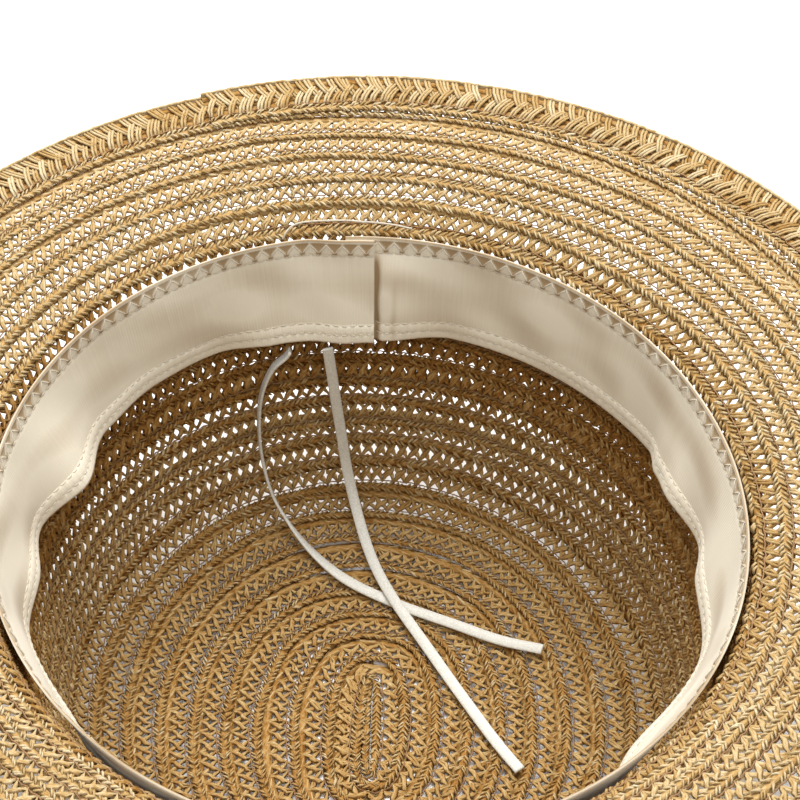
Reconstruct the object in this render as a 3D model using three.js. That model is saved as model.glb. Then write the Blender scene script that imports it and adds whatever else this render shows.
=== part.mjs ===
// A straw boater that lies on the flat of its crown, open side up, as it is put down on a table.
// The straw is one openwork braid, sewn round and round from the middle of the tip to the rim.
// Every round laps the one inside it, so the walls are stepped by one low rib a round.
// Millimetres, +Z up. The origin is on the table, under the middle of the brim. +Y is the back.
import * as THREE from "three";

// Head opening, where the crown turns into the brim: an oval, turned a little on the crown.
const openingHalfWidth = 83.5;
const openingHalfLength = 91.7;
const openingTurnDegrees = 18;
const crownDepth = 83.7;
const breakReach = 2;

// Crown tip: a long seed in the middle, rounds that grow out of it, then a rounded corner.
const seedHalfWidth = 7.5;
const seedExtraLength = 13.5;
const tipHalfWidth = 67;
const tipExtraLength = 6;
const tipEdgeRise = 7;
const tipShiftBack = 6;
const tipShiftLeft = 1;
const cornerHalfWidth = 70.6;
const cornerRise = 2;
const cornerReach = 10;

// Brim: it climbs away from the crown and flattens towards the rim.
const brimWidth = 48.5;
const brimRise = 9.9;
const brimClimbWidth = 29;

// Braid: how far apart its rounds are sewn, and the rib that a lap makes.
const tipRoundPitch = 7.8;
const sideRoundPitch = 6.6;
const brimRoundPitch = 7.3;
const strawThickness = 1.6;
const lapRise = 0.7;
const pieceGap = 0.35;

// Rim braid: one last round laid flat on the brim, its end lapped over its own start.
const rimBraidWidth = 10.2;
const rimBraidThickness = 1.3;
const rimBraidOverhang = 0.8;
const rimLapDegrees = 24;
const rimLapRampDegrees = 16;
const rimEndDegrees = 109;

// Sweatband: a ribbon sewn round the opening. Its free edge is hemmed and drawn in.
const bandWidth = 26.5;
const bandTopDrop = 0.6;
const bandThickness = 1;
const bandHemWidth = 4.5;
const bandHemThickness = 1.4;
const bandClearance = 0.65;
const bandSeamDegrees = 88.5;
const bandLapDegrees = 5;
const bandLapRampDegrees = 8;

// Draw tape: the two loose ends of the flat tape that runs through the hem.
const tapeWidth = 3;
const tapeThickness = 0.9;
const tapeStep = 7;

const strawSegments = 40;
const bandSegments = 78;
const bandRows = 5;

// The drawn-in free edge of the sweatband, round the opening: 0 at the right, 90 at the back.
// Each row is a pucker or a hollow. How far it leans in is a share of bandWidth.
const bandPuckers = [
  { degrees: 0, leansIn: 0.15 },
  { degrees: 9, leansIn: 0.05 },
  { degrees: 20, leansIn: 0.15 },
  { degrees: 25, leansIn: 0.12 },
  { degrees: 31, leansIn: 0.01 },
  { degrees: 48, leansIn: 0.02 },
  { degrees: 74, leansIn: 0.02 },
  { degrees: 88, leansIn: 0.17 },
  { degrees: 96, leansIn: 0.19 },
  { degrees: 108, leansIn: 0.14 },
  { degrees: 119, leansIn: 0.01 },
  { degrees: 132, leansIn: 0.03 },
  { degrees: 146, leansIn: 0.1 },
  { degrees: 160, leansIn: 0.31 },
  { degrees: 172, leansIn: 0.06 },
  { degrees: 182, leansIn: 0.14 },
  { degrees: 194, leansIn: 0.03 },
  { degrees: 212, leansIn: 0.12 },
  { degrees: 230, leansIn: 0.03 },
  { degrees: 250, leansIn: 0.16 },
  { degrees: 268, leansIn: 0.05 },
  { degrees: 288, leansIn: 0.13 },
  { degrees: 304, leansIn: 0.04 },
  { degrees: 323, leansIn: 0.25 },
  { degrees: 346, leansIn: 0.08 },
];

// Routes of the two tape ends, from the hem down the back of the crown and out over the tip.
const leftTapeRoute = [
  [-21.7, 79.0, 56.6],
  [-22.8, 78.8, 54.9],
  [-26.2, 78.2, 51.4],
  [-29.2, 77.4, 44.0],
  [-30.5, 76.6, 34.0],
  [-30.2, 74.6, 23.6],
  [-27.6, 70.0, 14.2],
  [-23.0, 64.6, 9.0],
  [-17.4, 58.8, 5.6],
  [-9.0, 50.8, 4.4],
  [3.4, 43.8, 3.4],
  [19.0, 36.2, 3.8],
  [30.2, 30.8, 4.2],
  [40.4, 27.0, 5.3],
];
const rightTapeRoute = [
  [-12.4, 78.9, 57.5],
  [-11.8, 78.9, 50.2],
  [-11.0, 78.7, 40.0],
  [-10.0, 77.8, 29.6],
  [-8.8, 75.6, 19.0],
  [-6.8, 70.4, 11.4],
  [-3.6, 60.8, 6.2],
  [-0.2, 51.6, 5.2],
  [4.6, 41.6, 4.9],
  [11.6, 30.0, 3.7],
  [20.3, 14.6, 3.5],
  [29.6, -1.4, 3.7],
  [34.6, -9.0, 3.9],
];

const strawMaterial = { color: 0xc8a268, roughness: 0.8, metalness: 0 };
const ribbonMaterial = { color: 0xded3bd, roughness: 0.9, metalness: 0 };
const tapeMaterial = { color: 0xf2f0ea, roughness: 0.7, metalness: 0 };

const degree = Math.PI / 180;
const { lerp, clamp, smoothstep } = THREE.MathUtils;
const tipEdgeHeight = strawThickness / 2 + lapRise / 2 + tipEdgeRise;
const openingExtraLength = openingHalfLength - openingHalfWidth;
const wallReach = strawThickness / 2 + lapRise / 2;

// One point of the hat's mid surface, from its place on the section and its direction.
// The tip's rounds start as slots round the seed and become the turned oval of the opening.
function hatPoint(angle, section) {
  const outward = clamp(section.x / tipHalfWidth, 0, 1);
  const climb = clamp((section.y - tipEdgeHeight) / (crownDepth - tipEdgeHeight), 0, 1);
  const tipExtra = lerp(seedExtraLength, tipExtraLength, outward);
  const extra = lerp(tipExtra, openingExtraLength, climb);
  const seedShare = Math.min(1, section.x / seedHalfWidth);
  const slotEnd = extra * seedShare * Math.sin((Math.PI / 2) * Math.sin(angle));
  const slotX = section.x * Math.cos(angle);
  const slotY = section.x * Math.sin(angle) + slotEnd;
  const turn = openingTurnDegrees * degree;
  const across = section.x * Math.cos(angle - turn);
  const along = (section.x + extra) * Math.sin(angle - turn);
  const ovalX = across * Math.cos(turn) - along * Math.sin(turn);
  const ovalY = across * Math.sin(turn) + along * Math.cos(turn);
  const x = lerp(slotX, ovalX, outward ** 2) - tipShiftLeft * (1 - climb);
  const y = lerp(slotY, ovalY, outward ** 2) + tipShiftBack * (1 - climb);
  return new THREE.Vector3(x, y, section.y);
}

// The section of the hat on its narrow side: x is the half width, y is the height.
const tipMiddle = new THREE.Vector2(0, wallReach);
const tipEdge = new THREE.Vector2(tipHalfWidth, tipEdgeHeight);
const corner = new THREE.Vector2(cornerHalfWidth, tipEdgeHeight + cornerRise);
const opening = new THREE.Vector2(openingHalfWidth, crownDepth);
const climbEnd = new THREE.Vector2(openingHalfWidth + brimClimbWidth, crownDepth + brimRise);
const climbControl = new THREE.Vector2(openingHalfWidth + brimClimbWidth / 2, climbEnd.y);
const rim = new THREE.Vector2(openingHalfWidth + brimWidth, climbEnd.y);

// The point that lies a given way from one point of the section towards another.
function towards(from, to, way) {
  return to.clone().sub(from).setLength(way).add(from);
}

function tipSection() {
  const handle = towards(tipEdge, corner, -0.16 * tipHalfWidth);
  const path = new THREE.Path();
  path.moveTo(tipMiddle.x, tipMiddle.y);
  path.lineTo(seedHalfWidth, tipMiddle.y);
  path.bezierCurveTo(0.45 * tipHalfWidth, tipMiddle.y, handle.x, handle.y, tipEdge.x, tipEdge.y);
  return path;
}

function sideSection() {
  const wallStart = towards(corner, opening, cornerReach);
  const wallEnd = towards(opening, corner, breakReach);
  const brimStart = towards(opening, climbControl, breakReach);
  const path = new THREE.Path();
  path.moveTo(tipEdge.x, tipEdge.y);
  path.quadraticCurveTo(corner.x, corner.y, wallStart.x, wallStart.y);
  path.lineTo(wallEnd.x, wallEnd.y);
  path.quadraticCurveTo(opening.x, opening.y, brimStart.x, brimStart.y);
  return path;
}

function brimSection() {
  const brimStart = towards(opening, climbControl, breakReach);
  const path = new THREE.Path();
  path.moveTo(brimStart.x, brimStart.y);
  path.quadraticCurveTo(climbControl.x, climbControl.y, climbEnd.x, climbEnd.y);
  path.lineTo(rim.x, rim.y);
  return path;
}

// A point beside the mid surface: lift is inwards on the crown and upwards on the brim.
function liftedPoint(sectionAt, angle, share, lift) {
  const step = 0.002;
  const here = hatPoint(angle, sectionAt(share));
  const up = hatPoint(angle, sectionAt(Math.min(1, share + step)));
  const down = hatPoint(angle, sectionAt(Math.max(0, share - step)));
  const onward = hatPoint(angle + step, sectionAt(share));
  const back = hatPoint(angle - step, sectionAt(share));
  const normal = up.sub(down).cross(onward.sub(back)).normalize();
  return here.addScaledVector(normal, lift);
}

// Triangles of a closed strip of rings: ring after ring, and the last one back to the first.
function closedRings(rings, isRound) {
  const count = rings[0].length;
  const positions = rings.flat().flatMap((point) => point.toArray());
  const index = [];
  const steps = isRound ? rings.length : rings.length - 1;
  for (let ring = 0; ring < steps; ring += 1) {
    const next = (ring + 1) % rings.length;
    for (let side = 0; side < count; side += 1) {
      const a = ring * count + side;
      const b = ring * count + ((side + 1) % count);
      const c = next * count + ((side + 1) % count);
      const d = next * count + side;
      index.push(a, b, c, a, c, d);
    }
  }
  if (!isRound) {
    const last = (rings.length - 1) * count;
    for (let side = 1; side + 1 < count; side += 1) {
      index.push(0, side + 1, side, last, last + side, last + side + 1);
    }
  }
  return indexedGeometry(positions, index);
}

function indexedGeometry(positions, index) {
  const geometry = new THREE.BufferGeometry();
  geometry.setAttribute("position", new THREE.Float32BufferAttribute(positions, 3));
  geometry.setIndex(index);
  geometry.computeVertexNormals();
  return geometry;
}

// Both faces of a sewn wall, in section: each round leans so that its start lies on the last one.
function roundLifts(path, pitch, startGap, endGap) {
  const length = path.getLength();
  const rounds = Math.max(1, Math.round((length - startGap - endGap) / pitch));
  const inner = [];
  const outer = [];
  for (let round = 0; round < rounds; round += 1) {
    for (const side of [0, 1]) {
      const way = lerp(startGap, length - endGap, (round + side) / rounds);
      const lean = lapRise * (0.5 - side);
      inner.push({ share: way / length, lift: strawThickness / 2 + lean });
      outer.push({ share: way / length, lift: lean - strawThickness / 2 });
    }
  }
  return { inner, outer };
}

// A sewn wall that goes all the way round, such as the crown's side or the brim.
function strawWall(path, pitch, startGap, endGap) {
  const { inner, outer } = roundLifts(path, pitch, startGap, endGap);
  const outline = [...inner, ...outer.reverse()];
  const sectionAt = (share) => path.getPointAt(share);
  const rings = [];
  for (let segment = 0; segment < strawSegments; segment += 1) {
    const angle = (segment / strawSegments) * 2 * Math.PI;
    rings.push(outline.map(({ share, lift }) => liftedPoint(sectionAt, angle, share, lift)));
  }
  return closedRings(rings, true);
}

// The tip: rounds about a flat seed, closed in the middle on both faces.
function crownTip() {
  const path = tipSection();
  const length = path.getLength();
  const sectionAt = (share) => path.getPointAt(share);
  const { inner, outer } = roundLifts(path, tipRoundPitch, seedHalfWidth, pieceGap / 2);
  const seedShare = seedHalfWidth / length;
  const seedFloor = { share: seedShare, lift: -wallReach };
  const seedTop = { share: seedShare, lift: strawThickness - wallReach };
  const outline = [seedTop, ...inner, ...outer.reverse(), seedFloor];
  const middle = hatPoint(0, new THREE.Vector2(0, 0));
  const positions = [middle.x, middle.y, strawThickness, middle.x, middle.y, 0];
  const index = [];
  const count = outline.length;
  for (let segment = 0; segment < strawSegments; segment += 1) {
    const angle = (segment / strawSegments) * 2 * Math.PI;
    const next = (segment + 1) % strawSegments;
    for (const { share, lift } of outline) {
      positions.push(...liftedPoint(sectionAt, angle, share, lift).toArray());
    }
    for (let side = 0; side + 1 < count; side += 1) {
      const a = 2 + segment * count + side;
      const b = 2 + next * count + side;
      index.push(a, a + 1, b + 1, a, b + 1, b);
    }
    index.push(0, 2 + segment * count, 2 + next * count);
    index.push(1, 2 + next * count + count - 1, 2 + segment * count + count - 1);
  }
  return indexedGeometry(positions, index);
}

// The last round, laid flat on the brim. It climbs over its own start by one thickness.
function rimBraid() {
  const start = rimEndDegrees - rimLapDegrees;
  const sweep = 360 + rimLapDegrees;
  const steps = Math.round((strawSegments * sweep) / 360);
  const outerX = rim.x + rimBraidOverhang;
  const innerX = outerX - rimBraidWidth;
  const base = rim.y + wallReach + pieceGap;
  const rings = [];
  for (let step = 0; step <= steps; step += 1) {
    const turned = (sweep * step) / steps;
    const lapped = smoothstep(turned, 360 - rimLapRampDegrees, 360);
    const floor = base + lapped * (rimBraidThickness + pieceGap);
    const roof = floor + rimBraidThickness;
    const outline = [
      [innerX, floor],
      [innerX, roof],
      [outerX, roof],
      [outerX, floor],
    ];
    const angle = (start + turned) * degree;
    rings.push(outline.map(([x, y]) => hatPoint(angle, new THREE.Vector2(x, y))));
  }
  return closedRings(rings, false);
}

// How far the sweatband's free edge leans in at an angle, eased from pucker to pucker.
function puckerLean(degrees) {
  const count = bandPuckers.length;
  const place = ((degrees % 360) + 360) % 360;
  const after = bandPuckers.findIndex((pucker) => pucker.degrees > place);
  const next = bandPuckers[(after + count) % count];
  const last = bandPuckers[((after < 0 ? count : after) + count - 1) % count];
  const span = (next.degrees - last.degrees + 360) % 360;
  const share = smoothstep((place - last.degrees + 360) % 360, 0, span);
  return lerp(last.leansIn, next.leansIn, share) * bandWidth;
}

// The sweatband: an open strip whose top end laps over its other end at the back seam.
function sweatband() {
  const wallWay = opening.distanceTo(corner);
  const sectionAt = (share) => opening.clone().lerp(corner, share);
  const sweep = 360 + bandLapDegrees;
  const hemStart = 1 - bandHemWidth / bandWidth;
  const shares = [];
  for (let row = 0; row < bandRows; row += 1) shares.push((hemStart * row) / (bandRows - 1));
  const rings = [];
  for (let step = 0; step <= bandSegments; step += 1) {
    const turned = (sweep * step) / bandSegments;
    const degrees = bandSeamDegrees + turned;
    const lapEnd = bandLapDegrees + bandLapRampDegrees;
    const lapped = 1 - smoothstep(turned, bandLapDegrees, lapEnd);
    const under = wallReach + bandClearance + lapped * (bandHemThickness + pieceGap);
    const lean = puckerLean(degrees);
    const place = (share, thickness) => {
      const way = (bandTopDrop + share * bandWidth) / wallWay;
      const lift = under + thickness + lean * share ** 1.6;
      return liftedPoint(sectionAt, degrees * degree, way, -lift);
    };
    const back = [...shares.map((share) => place(share, 0)), place(hemStart, 0), place(1, 0)];
    const face = [...shares.map((share) => place(share, bandThickness))];
    face.push(place(hemStart + 0.02, bandHemThickness), place(1, bandHemThickness));
    back.splice(bandRows, 1);
    rings.push([...back, ...face.reverse()]);
  }
  return closedRings(rings, false);
}

// A route whose flat side faces the middle of the crown, so that a tape lies on wall and tip.
class TapeRoute extends THREE.CatmullRomCurve3 {
  computeFrenetFrames(steps) {
    const crownMiddle = new THREE.Vector3(0, tipHalfWidth / 3, crownDepth * 0.7);
    const frames = { tangents: [], normals: [], binormals: [] };
    for (let step = 0; step <= steps; step += 1) {
      const tangent = this.getTangentAt(step / steps);
      const facing = crownMiddle.clone().sub(this.getPointAt(step / steps));
      const across = tangent.clone().cross(facing).normalize();
      frames.tangents.push(tangent);
      frames.normals.push(across);
      frames.binormals.push(tangent.clone().cross(across));
    }
    return frames;
  }
}

// A flat tape laid along its route: an eight-sided section, as wide as the tape.
function drawTape(route) {
  const curve = new TapeRoute(route.map((place) => new THREE.Vector3(...place)));
  const oval = new THREE.EllipseCurve(0, 0, tapeWidth / 2, tapeThickness / 2);
  const section = new THREE.Shape(oval.getPoints(8).slice(0, 8));
  const steps = Math.round(curve.getLength() / tapeStep);
  return new THREE.ExtrudeGeometry(section, { steps, extrudePath: curve, bevelEnabled: false });
}

function addPiece(hat, name, geometry, look) {
  const mesh = new THREE.Mesh(geometry, new THREE.MeshStandardMaterial(look));
  mesh.name = name;
  hat.add(mesh);
}

const halfGap = pieceGap / 2;
const boater = new THREE.Group();
addPiece(boater, "crown_tip", crownTip(), strawMaterial);
addPiece(boater, "crown_side", strawWall(sideSection(), sideRoundPitch, halfGap, halfGap), strawMaterial);
addPiece(boater, "brim", strawWall(brimSection(), brimRoundPitch, halfGap, 0), strawMaterial);
addPiece(boater, "rim_braid", rimBraid(), strawMaterial);
addPiece(boater, "sweatband", sweatband(), ribbonMaterial);
addPiece(boater, "draw_tape_left", drawTape(leftTapeRoute), tapeMaterial);
addPiece(boater, "draw_tape_right", drawTape(rightTapeRoute), tapeMaterial);

export default boater;
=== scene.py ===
"""A straw boater lying on its crown: openwork braid sewn in one spiral, a ribbon sweatband, draw tapes.

The straw is laid in a flat braid space first: along the braid, across it from its inner edge, and
up from the hat's mid surface. One function then carries all of it round the hat. Sizes are in
millimetres, and a mesh is brought to metres when it is made. Only the routes of the loose ends, the
floor and the lamps are given in metres.
"""

import logging
import math
from dataclasses import dataclass, field
from enum import Enum

import bpy
import numpy as np
from mathutils import Matrix, Vector


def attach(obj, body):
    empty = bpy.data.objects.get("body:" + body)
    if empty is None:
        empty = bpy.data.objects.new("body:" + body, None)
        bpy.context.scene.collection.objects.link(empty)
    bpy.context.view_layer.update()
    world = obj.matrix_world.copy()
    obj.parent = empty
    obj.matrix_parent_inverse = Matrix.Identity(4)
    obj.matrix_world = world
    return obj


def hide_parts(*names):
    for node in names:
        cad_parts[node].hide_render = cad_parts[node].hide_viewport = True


MM = 0.001
FULL_TURN = 2 * math.pi
FULL_DEGREES = 360
SEED = 41
# A tint this low marks sewing thread, which takes no part in the straw's shading.
THREAD_TONE = -1.0
# How far the creases of each strand are moved from those of the one before.
CREASE_SHIFT = 0.37
# Keeps a length that is divided by from being nothing.
TINY = 1e-9
# The two ends of a stretch over which something comes on or goes.
Span = tuple[float, float]
Colour = tuple[float, float, float]
# A place, or a size each way.
Triple = tuple[float, float, float]

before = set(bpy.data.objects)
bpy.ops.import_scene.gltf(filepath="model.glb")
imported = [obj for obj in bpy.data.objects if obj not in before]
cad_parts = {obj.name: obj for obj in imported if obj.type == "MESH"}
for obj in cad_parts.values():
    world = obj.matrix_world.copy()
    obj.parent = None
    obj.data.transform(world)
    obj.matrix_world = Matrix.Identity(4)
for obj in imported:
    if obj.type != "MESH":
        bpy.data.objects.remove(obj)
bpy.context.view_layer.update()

log = logging.getLogger("boater")


class Slot(Enum):
    """The record's material slots."""

    STRAW = "straw"
    RIBBON = "ribbon"
    TAPE = "tape"


def ease(value: np.ndarray, low: float, high: float) -> np.ndarray:
    """A smooth step from 0 at low to 1 at high."""
    share = np.clip((value - low) / (high - low), 0, 1)
    return share * share * (3 - 2 * share)


def between(value: np.ndarray, rise: Span, fall: Span) -> np.ndarray:
    """A smooth plateau that comes on over one span and goes over another."""
    return ease(value, *rise) * (1 - ease(value, *fall))


def bell(value: np.ndarray, middle: float, width: float) -> np.ndarray:
    """A smooth bump of height 1."""
    return np.exp(-((value - middle) / width) ** 2)


def coordinates(along: np.ndarray, across: np.ndarray, up: np.ndarray) -> np.ndarray:
    """Rows of coordinates, the three of a point in the last column."""
    return np.stack(np.broadcast_arrays(along, across, up), -1)


def tube_faces(stations: int, sides: int) -> np.ndarray:
    """The faces round a tube, without its ends.

    Args:
        stations: how many rings of points it has.
        sides: how many points a ring has.

    Returns:
        Four point numbers a face.
    """
    ring = np.arange(sides)
    after = (ring + 1) % sides
    step = np.arange(stations - 1)[:, None] * sides
    return np.stack([step + ring, step + after, step + sides + after, step + sides + ring], -1).reshape(-1, 4)


def towards(start: np.ndarray, end: np.ndarray, way: float) -> np.ndarray:
    """The point that lies a given way from one point towards another."""
    line = end - start
    return start + line / np.linalg.norm(line) * way


def bezier(*controls: np.ndarray, steps: int = 80) -> np.ndarray:
    """Points of a curve through its first and last control.

    Args:
        controls: three or four control points.
        steps: how many points it gets.

    Returns:
        The points, one a row.
    """
    share = np.linspace(0, 1, steps)[:, None]
    points = [np.repeat(control[None, :], steps, 0) for control in controls]
    while len(points) > 1:
        points = [a + (b - a) * share for a, b in zip(points, points[1:])]
    return points[0]


@dataclass(frozen=True)
class HatForm:
    """The hat's mid surface: an oval that grows out of a long seed, up the crown and over the brim."""

    opening_half_width: float = 83.5
    opening_half_length: float = 91.7
    opening_turn: float = math.radians(18)
    crown_depth: float = 83.7
    break_reach: float = 2
    seed_half_width: float = 7.5
    seed_extra_length: float = 13.5
    tip_half_width: float = 67
    tip_extra_length: float = 6
    tip_edge_rise: float = 7
    tip_shift_back: float = 6
    tip_shift_left: float = 1
    corner_half_width: float = 70.6
    corner_rise: float = 2
    corner_reach: float = 10
    brim_width: float = 48.5
    brim_rise: float = 9.9
    brim_climb_width: float = 29
    wall_reach: float = 1.15
    tip_handle: float = 0.16
    floor_handle: float = 0.45
    overrun: float = 6

    @property
    def tip_edge(self) -> np.ndarray:
        """Half width and height where the tip ends."""
        return np.array([self.tip_half_width, self.wall_reach + self.tip_edge_rise])

    @property
    def corner(self) -> np.ndarray:
        """Half width and height of the sharp corner that the round one replaces."""
        return np.array([self.corner_half_width, self.tip_edge[1] + self.corner_rise])

    @property
    def opening(self) -> np.ndarray:
        """Half width and height of the head opening."""
        return np.array([self.opening_half_width, self.crown_depth])

    def section(self) -> np.ndarray:
        """The section of the hat from the middle of the tip to the rim.

        Returns:
            Rows of half width and height.
        """
        rim_height = self.crown_depth + self.brim_rise
        climb_end = np.array([self.opening_half_width + self.brim_climb_width, rim_height])
        climb_control = np.array([self.opening_half_width + self.brim_climb_width / 2, rim_height])
        rim = np.array([self.opening_half_width + self.brim_width, rim_height])
        handle = towards(self.tip_edge, self.corner, -self.tip_handle * self.tip_half_width)
        seed = np.array([self.seed_half_width, self.wall_reach])
        floor_control = np.array([self.floor_handle * self.tip_half_width, self.wall_reach])
        wall_start = towards(self.corner, self.opening, self.corner_reach)
        wall_end = towards(self.opening, self.corner, self.break_reach)
        brim_start = towards(self.opening, climb_control, self.break_reach)
        return np.vstack([
            [[0, self.wall_reach]],
            bezier(seed, floor_control, handle, self.tip_edge),
            bezier(self.tip_edge, self.corner, wall_start)[1:],
            bezier(wall_end, self.opening, brim_start),
            bezier(brim_start, climb_control, climb_end)[1:],
            towards(rim, climb_end, -self.overrun)[None, :],
        ])

    def point(self, angle: np.ndarray, half_width: np.ndarray, height: np.ndarray) -> np.ndarray:
        """Points of the mid surface.

        Args:
            angle: direction round the hat, 0 at the right and a quarter turn at the back.
            half_width: place on the section, as the half width there.
            height: place on the section, as the height there.

        Returns:
            The points, x, y and z in the last column.
        """
        outward = np.clip(half_width / self.tip_half_width, 0, 1)
        rise = self.crown_depth - self.tip_edge[1]
        climb = np.clip((height - self.tip_edge[1]) / rise, 0, 1)
        tip_extra = self.seed_extra_length + (self.tip_extra_length - self.seed_extra_length) * outward
        opening_extra = self.opening_half_length - self.opening_half_width
        extra = tip_extra + (opening_extra - tip_extra) * climb
        slot_x = half_width * np.cos(angle)
        slot_y = half_width * np.sin(angle) + extra * np.sin(math.pi / 2 * np.sin(angle))
        across = half_width * np.cos(angle - self.opening_turn)
        along = (half_width + extra) * np.sin(angle - self.opening_turn)
        turn_x, turn_y = math.cos(self.opening_turn), math.sin(self.opening_turn)
        oval_x = across * turn_x - along * turn_y
        oval_y = across * turn_y + along * turn_x
        share = outward**2
        x = slot_x + (oval_x - slot_x) * share - self.tip_shift_left * (1 - climb)
        y = slot_y + (oval_y - slot_y) * share + self.tip_shift_back * (1 - climb)
        return np.stack([x, y, height + 0 * x], -1)


@dataclass(frozen=True)
class RoundPlace:
    """Where the braid's inner edge lies after so many turns."""

    turns: float
    way: float
    more_at_back: float = 0


ROUNDS = (
    RoundPlace(-0.75, -0.3),
    RoundPlace(-0.25, -0.3),
    RoundPlace(0.25, -0.1),
    RoundPlace(0.5, 1.6),
    RoundPlace(0.75, 3.8),
    RoundPlace(1, 6.4),
    RoundPlace(1.5, 8.6),
    RoundPlace(2, 14.3),
    RoundPlace(2.5, 17.2),
    RoundPlace(3, 21.9),
    RoundPlace(4, 29.5, 0.2),
    RoundPlace(5.25, 39.2, 1.6),
    RoundPlace(6.25, 46.9, 3.4),
    RoundPlace(7.25, 54.9, 3.8),
    RoundPlace(8.25, 62.6, 4.3),
    RoundPlace(9.25, 70.2, 4.1),
    RoundPlace(10.25, 78.0, 3.6),
    RoundPlace(11.25, 84.4, 2.5),
    RoundPlace(12.25, 92.9, 1.5),
    RoundPlace(13.25, 99.5, 0.5),
    RoundPlace(14.25, 108.1),
    RoundPlace(15.25, 114.6),
    RoundPlace(20.25, 145.7),
    RoundPlace(21.25, 152.9),
    RoundPlace(22.25, 159.2),
    RoundPlace(23.25, 166.0),
    RoundPlace(23.37, 167.6),
    RoundPlace(24.25, 172.9),
    RoundPlace(24.37, 173.9),
    RoundPlace(25.25, 181.0),
    RoundPlace(25.31, 181.5),
    RoundPlace(25.4, 181.7),
    RoundPlace(25.9, 182.7),
    RoundPlace(26.2, 182.7),
    RoundPlace(26.26, 182.2),
    RoundPlace(26.31, 181.6),
    RoundPlace(26.35, 181.5),
)


@dataclass
class BraidLay:
    """The way the braid lies on the hat: one spiral from the seed to the rim.

    A span says between which turns something comes on. Those of the rim count from rim_turn, and
    the one of the end from last_turn.
    """

    form: HatForm
    first_turn: float = -0.75
    last_turn: float = 26.303
    rim_turn: float = 25.26
    stitch: float = 2.9
    measured_across: float = 1.5
    inner_lift: float = 0.36
    lap_lean: float = 0.12
    start_drop: float = 0.3
    start_span: Span = (-0.35, -0.15)
    rim_lift: float = 0.35
    rim_lift_span: Span = (0, 0.3)
    rim_curl: float = 0.08
    rim_curl_span: Span = (-0.03, 0.05)
    end_lift: float = 0.5
    end_span: Span = (-0.12, -0.05)
    floor_gap: float = 0.03
    least_way: float = 0.02
    wander: float = 0.28
    wander_rates: tuple[float, ...] = (2.37, 4.11, 6.83, 9.71)
    wander_phase: float = 2.1
    wander_span: Span = (1, 3)
    wander_rim_span: Span = (-0.6, 0)
    table_rows: int = 24000
    probe_out: float = 0.25
    probe_turns: float = 0.0004

    def __post_init__(self) -> None:
        """Measures the section and the spiral once."""
        rows = self.form.section()
        steps = np.linalg.norm(np.diff(rows, axis=0), axis=1)
        self.section_rows = rows
        self.section_way = np.concatenate([[0], np.cumsum(steps)])
        self.turn_table = np.linspace(self.first_turn, self.last_turn, self.table_rows)
        line = self._at(self.turn_table, np.full_like(self.turn_table, self.measured_across))
        lengths = np.linalg.norm(np.diff(line, axis=0), axis=1)
        self.length_table = np.concatenate([[0], np.cumsum(lengths)])

    def way(self, turns: np.ndarray) -> np.ndarray:
        """How far out on the section the braid's inner edge lies.

        Args:
            turns: turns from the seed.

        Returns:
            Millimetres along the section.
        """
        table = np.array([(r.turns, r.way, r.more_at_back) for r in ROUNDS])
        way = np.interp(turns, table[:, 0], table[:, 1])
        more = np.interp(turns, table[:, 0], table[:, 2])
        back = np.clip(np.sin(turns * FULL_TURN), 0, 1) ** 2
        waves = sum(np.sin((turns * FULL_TURN + self.wander_phase) * rate) for rate in self.wander_rates)
        settled = ease(turns, *self.wander_span) * (1 - ease(turns - self.rim_turn, *self.wander_rim_span))
        return way + more * back + self.wander * waves / 2 * settled

    def _at(self, turns: np.ndarray, across: np.ndarray, out: float = 0) -> np.ndarray:
        """The mid surface under a place on the braid.

        Args:
            turns: turns from the seed.
            across: millimetres from the braid's inner edge.
            out: how much farther out it is measured.

        Returns:
            The points.
        """
        way = np.maximum(self.way(turns) + across + out, self.least_way)
        half_width = np.interp(way, self.section_way, self.section_rows[:, 0])
        height = np.interp(way, self.section_way, self.section_rows[:, 1])
        return self.form.point(turns * FULL_TURN, half_width, height)

    def length_at(self, turns: float) -> float:
        """How much braid lies before so many turns."""
        return float(np.interp(turns, self.turn_table, self.length_table))

    def turns_at(self, along: np.ndarray) -> np.ndarray:
        """How many turns lie before a place on the braid."""
        return np.interp(along, self.length_table, self.turn_table)

    def carry(self, places: np.ndarray) -> np.ndarray:
        """Carries points from braid space onto the hat.

        Args:
            places: rows of millimetres along the braid, across it and up from it.

        Returns:
            The points on the hat, in millimetres.
        """
        along, across, up = places[:, 0], places[:, 1], places[:, 2]
        turns = self.turns_at(along)
        base = self._at(turns, across)
        outward = self._at(turns, across, self.probe_out) - self._at(turns, across, -self.probe_out)
        onward = self._at(turns + self.probe_turns, across) - self._at(turns - self.probe_turns, across)
        normal = np.cross(outward, onward)
        normal /= np.maximum(np.linalg.norm(normal, axis=1), TINY)[:, None]
        past_rim, past_end = turns - self.rim_turn, turns - self.last_turn
        curled = ease(past_rim, *self.rim_curl_span)
        lift = self.inner_lift + (self.rim_curl * curled - self.lap_lean * (1 - curled)) * across
        lift += self.rim_lift * ease(past_rim, *self.rim_lift_span)
        lift += self.end_lift * ease(past_end, *self.end_span)
        lift -= self.start_drop * (1 - ease(turns, *self.start_span))
        points = base + normal * (up + lift)[:, None]
        points[:, 2] = np.maximum(points[:, 2], self.floor_gap)
        return points


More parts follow.
